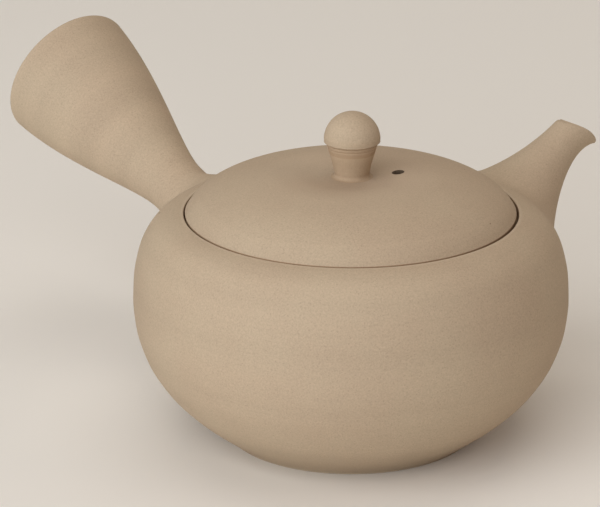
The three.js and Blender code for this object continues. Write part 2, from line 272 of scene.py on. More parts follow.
def laidFlat(ways, normal):  # unit ways along the wall
    flat = ways - (ways * normal).sum(1)[:, None] * normal
    return flat / np.linalg.norm(flat, axis=1)[:, None]


def smoothedOn(rails, wall, climbs, spreads, pull, rows):  # rails that end in a skirt on the wall
    _, _, heights = ontoWall(rails, wall)
    meets = [railMeets(rail, height, 0) for rail, height in zip(rails, heights)]
    meeting = np.array([alongRail(rail, *meet) for rail, meet in zip(rails, meets)])
    _, normal, _ = ontoWall(meeting, wall)
    spread = laidFlat(meeting - meeting.mean(0), normal)
    foot, normal, _ = ontoWall(meeting + spread * np.array(spreads)[:, None], wall)
    ways = laidFlat(spread, normal)
    steps = luting["skirtRows"]
    landed = []
    for j, (rail, (lengths, reach)) in enumerate(zip(rails, meets)):
        leave = reach - climbs[j]
        upper = [alongRail(rail, lengths, leave * k / rows) for k in range(rows + 1)]
        lead = alongRail(rail, lengths, leave + 0.01) - alongRail(rail, lengths, leave - 0.01)
        lead /= np.linalg.norm(lead)
        start, end = upper[-1], foot[j]
        skirt = bezierAt(np.linspace(0, 1, steps + 1)[1:], start, start + lead * climbs[j] * pull,
                         end - ways[j] * np.linalg.norm(end - meeting[j]) * pull, end)
        landed.append(np.concatenate([upper, skirt]))
    landed = np.array(landed).transpose(1, 0, 2)
    near, normal, height = ontoWall(landed[-steps:], wall)
    lift = luting["lift"] + luting["liftAbove"] * np.linspace(1, 0, steps)[:, None] ** 2
    landed[-steps:] = np.where((height < lift)[..., None], near + normal * lift[..., None], landed[-steps:])
    edge = near[-1] + ways * luting["edgeReach"] - normal[-1] * luting["sink"]
    return np.concatenate([landed, edge[None]])


def boreRoot(rails, wall, rows):  # inner rails from the wall to the mouth
    made = []
    _, _, heights = ontoWall(rails, wall)
    for rail, height in zip(rails, heights):
        lengths, reach = railMeets(rail, height, -luting["sink"])
        made.append([alongRail(rail, lengths, reach * (1 - k / rows)) for k in range(rows + 1)])
    return np.array(made).transpose(1, 0, 2)


def underside(outer, inner, wall):  # hidden rows between skirt and bore, just in the wall
    count = luting["hiddenRows"]
    rows = [outer + (inner - outer) * k / (count + 1) for k in range(1, count + 1)]
    foot, normal, _ = ontoWall(np.array(rows), wall)
    return foot - normal * luting["sink"]


def settled(rows, wall, form):  # rows follow a thrown wall's unevenness, less with their height above it
    foot, normal, height = ontoWall(rows, wall)
    shift = np.zeros(height.shape)
    for at in zip(*np.nonzero(height < luting["followHeight"])):
        place = Vector(foot[at]) * mm
        near = form.find_nearest(place)[0]
        shift[at] = (near - place).dot(Vector(normal[at])) / mm
    share = np.clip(1 - height / luting["followHeight"], 0, 1) ** 2
    return rows + normal * (shift * share)[..., None]


def roundOff(turn, top, side, low):  # changes smoothly round a root, from its top to its underside
    high = 0.5 + 0.5 * np.cos(turn)
    beside = np.sin(turn) ** 2
    return beside * side + (1 - beside) * (high * top + (1 - high) * low)


def runIn(rings, way):  # one more ring, straight on into the pot
    return np.concatenate([rings, rings[-1:] + way])


def lutedTube(name, form, outer, bore, lip):  # an open tube smoothed on to the pot
    turn = np.linspace(0, 2 * math.pi, form["sides"], endpoint=False)
    climbs, spreads = (roundOff(turn, *form[kind]) for kind in ("climbs", "spreads"))
    skin = smoothedOn(outer.transpose(1, 0, 2), outside, climbs, spreads, form["pull"], form["rows"])
    inner = boreRoot(bore.transpose(1, 0, 2), outside, form["boreRows"])
    hidden = underside(skin[-1], inner[0], outside)
    return ringSkin(name, settled(np.concatenate([skin, hidden, inner, lip]), outside, potWall))


def effectGroup(name, colours, numbers, results):  # every effect takes a place and gives a colour
    inputs = [("Place", "Vector"), *((label, "Color") for label in colours),
              *((label, "Float") for label in numbers)]
    outputs = [("Colour", "Color"), *((label, "Float") for label in results)]
    return newTree(name, "ShaderNodeTree", inputs, outputs)


def mixColour(tree, factor, a, b):
    return addNode(tree, "ShaderNodeMix", {0: factor, 6: a, 7: b}, data_type="RGBA").outputs[2]


def noise(tree, place, scale, detail, roughness=0.5):
    return addNode(tree, "ShaderNodeTexNoise", {
        "Vector": place, "Scale": scale, "Detail": detail, "Roughness": roughness}).outputs[0]


def noiseAlong(tree, reach, detail):
    return addNode(tree, "ShaderNodeTexNoise", {"W": reach, "Scale": 1.0, "Detail": detail},
                   noise_dimensions="1D").outputs[0]


def fade(tree, value, low, high, atLow=0.0, atHigh=1.0, kind="SMOOTHSTEP"):
    return addNode(tree, "ShaderNodeMapRange", {
        "Value": value, "From Min": low, "From Max": high, "To Min": atLow, "To Max": atHigh},
        interpolation_type=kind).outputs[0]


def sandyClayGroup():
    tree, do, given, out = effectGroup(
        "sandyClay", ["Clay", "Bloom Colour"],
        ["Bloom", "Bloom Size", "Grain Size", "Grain Contrast", "Pits", "Roughness"],
        ["Roughness", "Height"])
    cloud = noise(tree, given["Place"], do.over(1.0, given["Bloom Size"]), 4.0, 0.55)
    bloom = do.times(fade(tree, cloud, 0.36, 0.66), given["Bloom"])
    tinted = mixColour(tree, bloom, given["Clay"], given["Bloom Colour"])
    fineness = do.over(1.0, given["Grain Size"])
    grain = do.take(noise(tree, given["Place"], fineness, 3.0, 0.65), 0.5)
    sand = addNode(tree, "ShaderNodeTexVoronoi", {
        "Vector": given["Place"], "Scale": do.times(fineness, 0.55)}).outputs["Distance"]
    pits = do.times(fade(tree, sand, 0.05, 0.3, 1.0, 0.0), given["Pits"])
    bright = do.add(1.0, do.times(grain, do.times(given["Grain Contrast"], 2.0)))
    bright = do.take(bright, do.times(pits, 0.25))
    tree.links.new(scaled(tree, tinted, bright), out["Colour"])
    tree.links.new(do.add(given["Roughness"], do.times(grain, 0.25), clamp=True), out["Roughness"])
    tree.links.new(do.take(grain, pits), out["Height"])
    return tree


def throwingRingsGroup():
    tree, do, given, out = effectGroup("throwingRings", ["Colour"], [
        "Ring Spacing", "Line Spacing", "Unevenness", "Ring Tone"], ["Height"])
    height = addNode(tree, "ShaderNodeSeparateXYZ", {"Vector": given["Place"]}).outputs["Z"]
    drift = do.take(noise(tree, given["Place"], 22.0, 1.0), 0.5)
    shifted = do.add(height, do.times(drift, given["Unevenness"]))
    bands = noiseAlong(tree, do.over(shifted, given["Ring Spacing"]), 1.0)
    lines = noiseAlong(tree, do.over(shifted, given["Line Spacing"]), 2.0)
    both = do.add(do.take(bands, 0.5), do.times(do.take(lines, 0.5), 0.35))
    bright = do.add(1.0, do.times(both, given["Ring Tone"]))
    tree.links.new(scaled(tree, given["Colour"], bright), out["Colour"])
    tree.links.new(both, out["Height"])
    return tree


def ironSpecksGroup():
    tree, do, given, out = effectGroup("ironSpecks", ["Colour", "Speck Colour"], [
        "Speck Spacing", "Speck Size", "Speck Share"], [])
    cells = addNode(tree, "ShaderNodeTexVoronoi", {
        "Vector": given["Place"], "Scale": do.over(1.0, given["Speck Spacing"])}).outputs
    chance = addNode(tree, "ShaderNodeSeparateColor", {0: cells["Color"]}).outputs
    size = do.over(do.times(given["Speck Size"], do.add(chance[1], 0.4)), given["Speck Spacing"])
    inside = maths(tree, "LESS_THAN", cells["Distance"], size)
    chosen = maths(tree, "LESS_THAN", chance[0], given["Speck Share"])
    specked = mixColour(tree, do.times(inside, chosen), given["Colour"], given["Speck Colour"])
    tree.links.new(specked, out["Colour"])
    return tree


def paintedShadeToneGroup():  # painted shade: darker where the given height, on the lid the distance from the axis, is low, over a soft edge
    tree, do, given, out = effectGroup("fireTone", ["Colour", "Tone Colour"], [
        "Tone Amount", "Where", "Tone From", "Tone To"], [])
    waver = do.times(do.take(noise(tree, given["Place"], 60.0, 3.0), 0.5), 0.006)
    place = do.add(given["Where"], waver)
    mask = do.times(fade(tree, place, given["Tone From"], given["Tone To"], 1.0, 0.0), given["Tone Amount"])
    tree.links.new(mixColour(tree, mask, given["Colour"], given["Tone Colour"]), out["Colour"])
    return tree


# lighter, smoother edge wear; on the pot's rim edge also a painted highlight
def edgeWearAndHighlightGroup():
    tree, do, given, out = effectGroup("rubbedEdges", ["Colour", "Rubbed Colour"], [
        "Edge", "Rubbed", "Roughness"], ["Roughness"])
    broken = do.times(do.take(noise(tree, given["Place"], 420.0, 3.0), 0.5), 0.5)
    mask = do.times(fade(tree, do.add(given["Edge"], broken), 0.25, 0.85, kind="LINEAR"), given["Rubbed"])
    tree.links.new(mixColour(tree, mask, given["Colour"], given["Rubbed Colour"]), out["Colour"])
    tree.links.new(do.take(given["Roughness"], do.times(mask, 0.12)), out["Roughness"])
    return tree


def paintedRecessShadeGroup():  # painted shade: darkens clay where the mark is set, down in the gap between lid and seat and in a band under the knob's ball
    tree, do, given, out = effectGroup("shelteredStain", ["Colour", "Stain Colour"], [
        "Shelter", "Stain"], [])
    share = do.add(0.85, do.times(noise(tree, given["Place"], 260.0, 2.0), 0.3))
    mask = do.times(do.times(given["Shelter"], share), given["Stain"], clamp=True)
    tree.links.new(mixColour(tree, mask, given["Colour"], given["Stain Colour"]), out["Colour"])
    return tree


effects = {"sandyClay": sandyClayGroup(), "throwingRings": throwingRingsGroup(),
           "ironSpecks": ironSpecksGroup(), "fireTone": paintedShadeToneGroup(),
           "rubbedEdges": edgeWearAndHighlightGroup(), "shelteredStain": paintedRecessShadeGroup()}


def placeGroup(tree, name, look, links):  # a socket without a link takes its value from the look
    labels = [item.name for item in effects[name].interface.items_tree if item.in_out == "INPUT"]
    keys = {label: label[0].lower() + label[1:].replace(" ", "") for label in labels if label not in links}
    values = {label: look[key] for label, key in keys.items()}
    return addNode(tree, "ShaderNodeGroup", {**values, **links}, node_tree=effects[name]).outputs


def rgb(*shown):  # a colour as a screen shows it, made linear
    linear = [c / 255 / 12.92 if c <= 10 else ((c / 255 + 0.055) / 1.055) ** 2.4 for c in shown]
    return (*linear, 1.0)


clayLook = {
    "clay": rgb(190, 171, 146), "bloomColour": rgb(184, 162, 138), "bloom": 0.5, "bloomSize": 0.030,
    "grainSize": 0.00045, "grainContrast": 0.26, "pits": 0.5, "roughness": 0.86, "gloss": 0.25,
    "ringSpacing": 0.0075, "lineSpacing": 0.0009, "unevenness": 0.002, "ringTone": 0.12,
    "speckColour": rgb(96, 72, 52), "speckSpacing": 0.0075, "speckSize": 0.00022, "speckShare": 0.35,
    # the tone colour paints shade where a material sets a tone amount
    "toneColour": rgb(160, 140, 118), "toneAmount": 0.0, "toneFrom": 0.0, "toneTo": 0.01,
    "toneBy": "height",
    # edge wear colour, also a painted highlight on the pot's rim edge
    "rubbedColour": rgb(204, 187, 163), "rubbed": 0.12,
    # painted shade colour and amount for the marked recesses
    "stainColour": rgb(140, 104, 72), "stain": 0.6,
    "grainBump": 0.00006, "ringBump": 0.00008, "axis": (0, 0, 0), "axisTurn": (0, 0, 0),
}


def clayMaterial(name, **changes):
    look = {**clayLook, **changes}
    material = bpy.data.materials.new(name)
    material.use_nodes = True
    tree = material.node_tree
    surface = tree.nodes["Principled BSDF"]
    place = tree.nodes.new("ShaderNodeTexCoord").outputs["Object"]
    turned = addNode(tree, "ShaderNodeMapping", {
        "Vector": place, "Location": look["axis"], "Rotation": look["axisTurn"]}, vector_type="TEXTURE")
    edge, shelter = (addNode(tree, "ShaderNodeAttribute", attribute_name=mark).outputs["Fac"]
                     for mark in ("edge", "shelter"))
    parts = addNode(tree, "ShaderNodeSeparateXYZ", {"Vector": place}).outputs
    where = parts["Z"]
    if look["toneBy"] == "distance":
        do = sums(tree)
        squares = do.add(do.times(parts["X"], parts["X"]), do.times(parts["Y"], parts["Y"]))
        where = maths(tree, "SQRT", squares)
    clay = placeGroup(tree, "sandyClay", look, {"Place": place})
    toned = placeGroup(tree, "fireTone", look, {"Place": place, "Colour": clay["Colour"], "Where": where})
    rings = placeGroup(tree, "throwingRings", look, {"Place": turned.outputs[0], "Colour": toned["Colour"]})
    specks = placeGroup(tree, "ironSpecks", look, {"Place": place, "Colour": rings["Colour"]})
    wornAndLit = placeGroup(tree, "rubbedEdges", look, {
        "Place": place, "Colour": specks["Colour"], "Edge": edge, "Roughness": clay["Roughness"]})
    recessShaded = placeGroup(tree, "shelteredStain", look, {
        "Place": place, "Colour": wornAndLit["Colour"], "Shelter": shelter})
    tree.links.new(recessShaded["Colour"], surface.inputs["Base Color"])
    tree.links.new(wornAndLit["Roughness"], surface.inputs["Roughness"])
    surface.inputs["Specular IOR Level"].default_value = look["gloss"]
    ringBump = addNode(tree, "ShaderNodeBump", {"Height": rings["Height"], "Distance": look["ringBump"]})
    grainBump = addNode(tree, "ShaderNodeBump", {
        "Height": clay["Height"], "Distance": look["grainBump"], "Normal": ringBump.outputs[0]})
    tree.links.new(grainBump.outputs[0], surface.inputs["Normal"])
    return material


def markEdges(piece, radius=0.0012):  # 1 where the surface turns outwards as sharply as that radius
    mesh = piece.data
    places = np.array([v.co for v in mesh.vertices])
    normals = np.array([v.normal for v in mesh.vertices])
    ends = np.array([e.vertices for e in mesh.edges])
    way = places[ends[:, 1]] - places[ends[:, 0]]
    turning = ((normals[ends[:, 1]] - normals[ends[:, 0]]) * way).sum(1)
    bend = turning / np.maximum((way * way).sum(1), 1e-12)
    most = np.zeros(len(places))
    np.maximum.at(most, ends[:, 0], bend)
    np.maximum.at(most, ends[:, 1], bend)
    mark = mesh.attributes.new("edge", "FLOAT", "POINT")
    mark.data.foreach_set("value", np.clip(most * radius, 0, 1).astype(np.float32))


def markRecessShade(piece, fromRadius, toRadius, low, high):  # 1 between two radii and heights in millimetres
    places = np.array([v.co for v in piece.data.vertices]) / mm
    radius = np.hypot(places[:, 0], places[:, 1])
    within = (radius > fromRadius) & (radius < toRadius) & (places[:, 2] > low) & (places[:, 2] < high)
    mark = piece.data.attributes.new("shelter", "FLOAT", "POINT")
    mark.data.foreach_set("value", within.astype(np.float32))


print("stage: tools ready")
thrownForm = thrownFormTree()


pot = {
    "footRadius": 33.2, "footBevel": 0.5, "flareAngle": 38, "flareReach": 10.3, "bellyRadius": 57.5,
    "bellyHeight": 37.8, "reachDown": 21.7, "reachUp": 16.1, "rimRadius": 44, "rimHeight": 61.1,
    "rimEdge": 0.4, "shoulderReach": 7.8, "shoulderFall": 11, "wall": 3.2, "floor": 3.8, "cornerReach": 6.2,
    "cornerRise": 3, "cornerPulls": ((1.6, 0.9), (3, 0)), "seatDepth": 2.8, "ledgeWidth": 4.5,
    "ledgeThickness": 2.6, "ledgeRise": 0.4, "edgeSoftness": 0.35, "fingerRingSpacing": 0.0077,
    "fingerRingDepth": 0.00003, "wobble": 0.0003, "sides": 192, "seed": 3.0,
}
foot = (pot["footRadius"], pot["footBevel"])
belly = (pot["bellyRadius"], pot["bellyHeight"])
rim = (pot["rimRadius"] + pot["rimEdge"], pot["rimHeight"])
lowLine = bezier(foot, away(foot, pot["flareAngle"], pot["flareReach"]),
                 (belly[0], belly[1] - pot["reachDown"]), belly, 44)
highLine = bezier(belly, (belly[0], belly[1] + pot["reachUp"]),
                  away(rim, -pot["shoulderFall"], pot["shoulderReach"]), rim, 40)
outside = joined(lowLine, highLine)
ledgeHeight = pot["rimHeight"] - pot["seatDepth"]
mouthRadius = pot["rimRadius"] - pot["ledgeWidth"]


def potLine():
    underLedge = ledgeHeight - pot["ledgeThickness"]
    inside = offsetLine(outside, pot["wall"])
    low, high = pot["floor"] + pot["cornerRise"], underLedge - pot["ledgeRise"]
    inside = inside[(inside[:, 1] > low) & (inside[:, 1] < high)][::-1]
    last = inside[-1]
    pulls = [(last[0] - inwards, pot["floor"] + up) for inwards, up in pot["cornerPulls"]]
    corner = bezier(last, *pulls, (last[0] - pot["cornerReach"], pot["floor"]), 8)
    r, soft = pot["rimRadius"], pot["edgeSoftness"]
    return joined(
        (0, 0), softCorner((0, 0), (foot[0] - pot["footBevel"] / 2, 0), foot, pot["footBevel"]), outside,
        softCorner(rim, (r, pot["rimHeight"]), (r, ledgeHeight), pot["rimEdge"]),
        softCorner((r, rim[1]), (r, ledgeHeight), (mouthRadius, ledgeHeight), soft),
        softCorner((r, ledgeHeight), (mouthRadius, ledgeHeight), (mouthRadius, underLedge), soft),
        softCorner((mouthRadius, ledgeHeight), (mouthRadius, underLedge), (r, underLedge), soft),
        softCorner((mouthRadius, underLedge), (inside[0][0], underLedge), tuple(inside[2]), soft),
        inside, corner, (0, pot["floor"]))


# painted highlight: the stronger edge lightening on the pot makes its rim edge catch light
# painted shade: the tone darkens the pot towards its foot
potClay = clayMaterial("potClay", toneAmount=0.42, toneFrom=0.002, toneTo=0.013, rubbed=0.45)
potForm = throwForm("potForm", potLine(), {
    "Sides": pot["sides"], "Ring Spacing": pot["fingerRingSpacing"], "Ring Depth": pot["fingerRingDepth"],
    "Hand Wobble": pot["wobble"], "Seed": pot["seed"], "Clay": potClay})
potWall = BVHTree.FromPolygons([v.co for v in potForm.data.vertices],
                               [f.vertices for f in potForm.data.polygons])


strainer = {
    "radius": 10, "height": 45, "tilt": 11, "clearance": 0.3, "domeRadius": 10.4, "wall": 1.8, "inset": 0.8,
    "collar": 2.4, "bore": 1.8, "taper": 0.3, "pitch": 2.7, "edgeSoftness": 0.35, "drillReach": 7,
    "drillSides": 64, "sides": 64, "boreSides": 14, "rubbedRadius": 0.0008,
}


def strainerPlace():  # frame of the hole in the wall behind the spout, with its Z into the pot
    middle = offsetLine(outside, pot["wall"] / 2)
    x = float(np.interp(strainer["height"], middle[:, 1], middle[:, 0]))
    tilt = math.radians(strainer["tilt"])
    inwards = Vector((-math.cos(tilt), 0, -math.sin(tilt)))
    turned = inwards.to_track_quat("Z", "Y").to_matrix().to_4x4()
    return Matrix.Translation(Vector((x, 0, strainer["height"])) * mm) @ turned


def drill(name, radius, low, high, sides, clay):
    return throwForm(name, joined((0, low), (radius, low), (radius, high), (0, high)), {
        "Sides": sides, "Clay": clay})


strainerDrill = drill("strainerDrill", strainer["radius"], -strainer["drillReach"], strainer["drillReach"],
                      strainer["drillSides"], potClay)
strainerDrill.data.transform(strainerPlace())
potBody = cutAway(potForm, strainerDrill, "potBody")
markEdges(potBody)
# painted shade on the seat, down in the gap round the lid
markRecessShade(potBody, mouthRadius - 0.05, pot["rimRadius"] + 0.1, ledgeHeight - 0.1, pot["rimHeight"] - 0.12)
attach(potBody, "pot")
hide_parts("vessel_body")
print("stage: pot thrown,", len(potBody.data.vertices), "vertices")


spout = {
    "topRoot": (50, 60.5), "topRootAngle": 17, "topRootReach": 7.4,
    "topTip": (74, 71.65), "topTipAngle": 36, "topTipReach": 6.7,
    "lowRoot": (57.4, 31.8), "lowRootAngle": 54.5, "lowRootReach": 18,
    "lowTip": (84.32, 63.1), "lowTipAngle": -2.3, "lowTipReach": 10.9,
    "halfWidths": (19.8, 7.7, 4.3, 5.25), "wall": 2.4, "lipWall": 1.4, "lipRise": 0.45, "mouthArch": 0.87,
    "archPower": 1.9, "backRoll": 1.0, "rollFrom": 0.93, "overrun": 8, "sides": 96, "rings": 120,
    "climbs": (2.5, 10.0, 3.5), "spreads": (1.5, 9.0, 3.0),  # at the top, the sides and the underside
    "pull": 0.55, "rows": 60, "boreRows": 40, "lipRings": 8,
}


def spoutEdge(shares, side):  # the top or low outline, from its root to its tip
    root, tip = spout[side + "Root"], spout[side + "Tip"]
    return bezierAt(shares, root, away(root, spout[side + "RootAngle"], spout[side + "RootReach"]),
                    away(tip, spout[side + "TipAngle"], -spout[side + "TipReach"]), tip)


def spoutRings(shares, shrinks, rises):  # (rings, sides, 3) places for shares from root to mouth
    s = np.asarray(shares, float)
    top, low = spoutEdge(s, "top"), spoutEdge(s, "low")
    width = bezierAt(s, *[(i / 3, w) for i, w in enumerate(spout["halfWidths"])])[:, 1]
    middle, half = (top + low) / 2, (top - low) / 2
    size = np.linalg.norm(half, axis=1)
    out = np.stack([half[:, 1], -half[:, 0]], 1) / size[:, None]
    shrinks, rises = np.broadcast_to(shrinks, s.shape), np.broadcast_to(rises, s.shape)
    turn = np.linspace(0, 2 * math.pi, spout["sides"], endpoint=False)
    arch = 1 - np.abs(np.cos(turn)) ** spout["archPower"]
    lift = rises[:, None] + spout["mouthArch"] * s[:, None] ** 4 * arch
    bend = np.clip((s - spout["rollFrom"]) / (1 - spout["rollFrom"]), 0, 1)
    roll = spout["backRoll"] * (1 - np.sqrt(1 - bend ** 2))[:, None] * (0.5 + 0.5 * np.cos(turn)) ** 2
    reach = (size - shrinks)[:, None] * np.cos(turn) - roll
    up = half / size[:, None]
    flat = middle[:, None] + up[:, None] * reach[..., None] + out[:, None] * lift[..., None]
    across = -(width - shrinks)[:, None] * np.sin(turn)
    return np.stack([flat[..., 0], across, flat[..., 1]], -1)


def makeSpout():
    shares = np.linspace(1, 0, spout["rings"] + 1)
    inwards = np.array([-spout["overrun"], 0, 0])
    wall = np.interp(shares, [0, 1], [spout["wall"], spout["lipWall"]])
    lipTurn = np.linspace(math.pi, 0, spout["lipRings"] + 1)[1:-1]
    lip = spoutRings(np.ones(len(lipTurn)), spout["lipWall"] / 2 * (1 - np.cos(lipTurn)),
                     spout["lipRise"] * np.sin(lipTurn))
    return lutedTube("spoutTube", spout, runIn(spoutRings(shares, 0, 0), inwards),
                     runIn(spoutRings(shares, wall, 0), inwards), lip)


spoutTube = makeSpout()
spoutTube.data.materials.append(clayMaterial("spoutClay", ringTone=0.02, ringBump=0.00003))
markEdges(spoutTube)
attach(spoutTube, "pot")
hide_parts("spout")
print("stage: spout luted on")


handle = {
    "rise": 21.2, "axisHeight": 17.9, "rootAt": 57, "rootRadius": 16.5, "rootReach": 7, "rootFlare": 1.5,
    "rootDraw": 7, "overrun": 8, "neckAt": 82, "neckRadius": 8.2, "neckReach": 9.7, "mouthAt": 138.72,
    "mouthRadius": 20, "mouthReach": 22.5, "mouthAngle": 4.4, "mouthSlant": 0.75, "slantTurn": 100,
    "wall": 2.8, "lipRound": 0.9, "lipRings": 10, "sides": 96, "outerRings": 60, "boreRings": 50,
    "climbs": (16.0, 12.0, 3.0), "spreads": (12.0, 10.0, 2.6),  # at the top, the sides and the underside
    "pull": 0.35, "rows": 80, "boreRows": 50,
}


def handleLine(shrink, count):  # from root to mouth as (distance along the axis, radius)
    neck = (handle["neckAt"], handle["neckRadius"] - shrink)
    mouth = (handle["mouthAt"] - handle["lipRound"], handle["mouthRadius"] - shrink)
    return joined(
        bezier((handle["rootAt"], handle["rootRadius"] - shrink),
               (handle["rootAt"] + handle["rootReach"], neck[1] + handle["rootFlare"]),
               (neck[0] - handle["neckReach"], neck[1]), neck, count),
        bezier(neck, (neck[0] + handle["neckReach"], neck[1]),
               away(mouth, handle["mouthAngle"], -handle["mouthReach"]), mouth, count))


def handleWays():  # along the handle's own axis, and upwards square to it
    rise = math.radians(handle["rise"])
    return np.array([0, math.cos(rise), math.sin(rise)]), np.array([0, -math.sin(rise), math.cos(rise)])


def handlePlaces(line):  # a line of (distance, radius) turned round the handle's own axis
    along, upward = handleWays()
    turn = np.linspace(0, 2 * math.pi, handle["sides"], endpoint=False)
    ring = np.cos(turn)[:, None] * upward + np.sin(turn)[:, None] * np.array([1.0, 0, 0])
    fromNeck = line[:, :1] - handle["neckAt"]
    towardsRoot = np.clip(fromNeck / (handle["rootAt"] - handle["neckAt"]), 0, 1)
    drawn = handle["rootDraw"] * (towardsRoot * np.maximum(-np.cos(turn), 0)) ** 3
    towardsMouth = np.clip(fromNeck / (handle["mouthAt"] - handle["neckAt"]), 0, 1)
    slanted = handle["mouthSlant"] * towardsMouth ** 2 * np.cos(turn - math.radians(handle["slantTurn"]))
    reach = (line[:, :1] - drawn + slanted)[..., None]
    return np.array([0, 0, handle["axisHeight"]]) + reach * along + line[:, None, 1:] * ring[None]


def makeHandle():
    inwards = -handleWays()[0] * handle["overrun"]
    outer = handlePlaces(handleLine(0, handle["outerRings"])[::-1])
    bore = handlePlaces(handleLine(handle["wall"], handle["boreRings"])[::-1])
    lipTurn = np.radians(np.linspace(-90, 90, handle["lipRings"] + 1)[1:-1])
    lipReach = handle["mouthAt"] - handle["lipRound"] * (1 - np.cos(lipTurn))
    lipRadius = handle["mouthRadius"] - handle["wall"] / 2 * (1 - np.sin(lipTurn))
    lip = handlePlaces(np.stack([lipReach, lipRadius], 1))
    return lutedTube("handleTube", handle, runIn(outer, inwards), runIn(bore, inwards), lip)


handleTube = makeHandle()
handleTube.data.materials.append(clayMaterial(
    "handleClay", axis=(0, 0, handle["axisHeight"] * mm),
    axisTurn=(math.radians(handle["rise"] - 90), 0, 0)))
markEdges(handleTube)
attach(handleTube, "pot")
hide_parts("handle")
print("stage: handle luted on")


def piercedDomeTree():
    tree, do, given, out = newTree("piercedDome", "GeometryNodeTree", [
        ("Dome", "Geometry"), ("Hole Places", "Object"), ("Bore", "Float"), ("Taper", "Float"),
        ("Depth", "Float"), ("Hole Sides", "Int"), ("Clay", "Material")], [("Strainer", "Geometry")])
    places = addNode(tree, "GeometryNodeObjectInfo", {"Object": given["Hole Places"]}).outputs["Geometry"]
    half = do.over(given["Bore"], 2.0)
    awl = addNode(tree, "GeometryNodeMeshCone", {
        "Vertices": given["Hole Sides"], "Radius Bottom": half, "Radius Top": do.add(half, given["Taper"]),
        "Depth": given["Depth"]}, fill_type="NGON").outputs["Mesh"]
    back = addNode(tree, "ShaderNodeCombineXYZ", {"Z": do.times(given["Depth"], -0.5)}).outputs[0]
    centred = addNode(tree, "GeometryNodeTransform", {"Geometry": awl, "Translation": back}).outputs[0]
    lean = addNode(tree, "GeometryNodeInputNamedAttribute", {"Name": "lean"}, data_type="FLOAT_VECTOR")
    leaning = addNode(tree, "FunctionNodeAlignRotationToVector", {"Vector": lean.outputs[0]}, axis="Z")
    holes = addNode(tree, "GeometryNodeInstanceOnPoints", {
        "Points": places, "Instance": centred, "Rotation": leaning.outputs[0]})
    solid = addNode(tree, "GeometryNodeRealizeInstances", {"Geometry": holes.outputs[0]}).outputs[0]
    pierced = addNode(tree, "GeometryNodeMeshBoolean", {0: given["Dome"], 1: solid},
                      operation="DIFFERENCE", solver="EXACT")
    finishForm(tree, pierced.outputs[0], given["Clay"], out[0])
    return tree


def domeSize():  # radius of the collar, half angle of the dome above it, height of the dome's centre
    outer = strainer["radius"] - strainer["clearance"]
    halfAngle = math.asin(outer / strainer["domeRadius"])
    centre = strainer["inset"] + strainer["collar"] - strainer["domeRadius"] * math.cos(halfAngle)
    return outer, halfAngle, centre


def domeLine():
    outer, halfAngle, centre = domeSize()
    inner = strainer["domeRadius"] - strainer["wall"]
    innerAngle = math.asin((outer - strainer["wall"]) / inner)
    low, soft = strainer["inset"], strainer["edgeSoftness"]
    under = arc((0, centre), inner, 90, 90 - math.degrees(innerAngle), 14)
    over = arc((0, centre), strainer["domeRadius"], 90 - math.degrees(halfAngle), 90, 16)
    return joined(
        under, softCorner(tuple(under[-1]), (outer - strainer["wall"], low), (outer, low), soft),
        softCorner((outer - strainer["wall"], low), (outer, low), tuple(over[0]), soft), over)


def holePlaces():  # rings of holes round the pole of the dome, each with the way it leans
    _, halfAngle, centre = domeSize()
    step = strainer["pitch"] / strainer["domeRadius"]
    ways = []
    for ring in range(int((halfAngle - step / 2) / step) + 1):
        count = max(1, int(2 * math.pi * math.sin(ring * step) / step))
        turn = (np.arange(count) + ring / 2) / count * 2 * math.pi
        flat, rise = math.sin(ring * step), np.full(count, math.cos(ring * step))
        ways.append(np.stack([flat * np.cos(turn), flat * np.sin(turn), rise], 1))
    ways = np.concatenate(ways)
    places = ways * (strainer["domeRadius"] - strainer["wall"] / 2) + np.array([0, 0, centre])
    mesh = bpy.data.meshes.new("holePlaces")
    mesh.from_pydata((places * mm).tolist(), [], [])
    lean = mesh.attributes.new("lean", "FLOAT_VECTOR", "POINT")
    lean.data.foreach_set("vector", ways.astype(np.float32).ravel())
    return addMesh("holePlaces", mesh)


def pierceDome(clay):
    dome = throwForm("dome", domeLine(), {"Sides": strainer["sides"], "Clay": clay})
    places = holePlaces()
    pierce = dome.modifiers.new("pierce", "NODES")
    pierce.node_group = piercedDomeTree()
    setInputs(pierce, {
        "Hole Places": places, "Bore": strainer["bore"] * mm, "Taper": strainer["taper"] * mm,
        "Depth": 4 * strainer["wall"] * mm, "Hole Sides": strainer["boreSides"], "Clay": clay})
    made = baked(dome, "strainerDome")
    bpy.data.objects.remove(places)
    return made


strainerDome = pierceDome(clayMaterial("strainerClay", grainContrast=0.2))
strainerDome.data.transform(strainerPlace())
markEdges(strainerDome, strainer["rubbedRadius"])
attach(strainerDome, "pot")
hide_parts("strainer")
print("stage: strainer pierced,", len(strainerDome.data.vertices), "vertices")


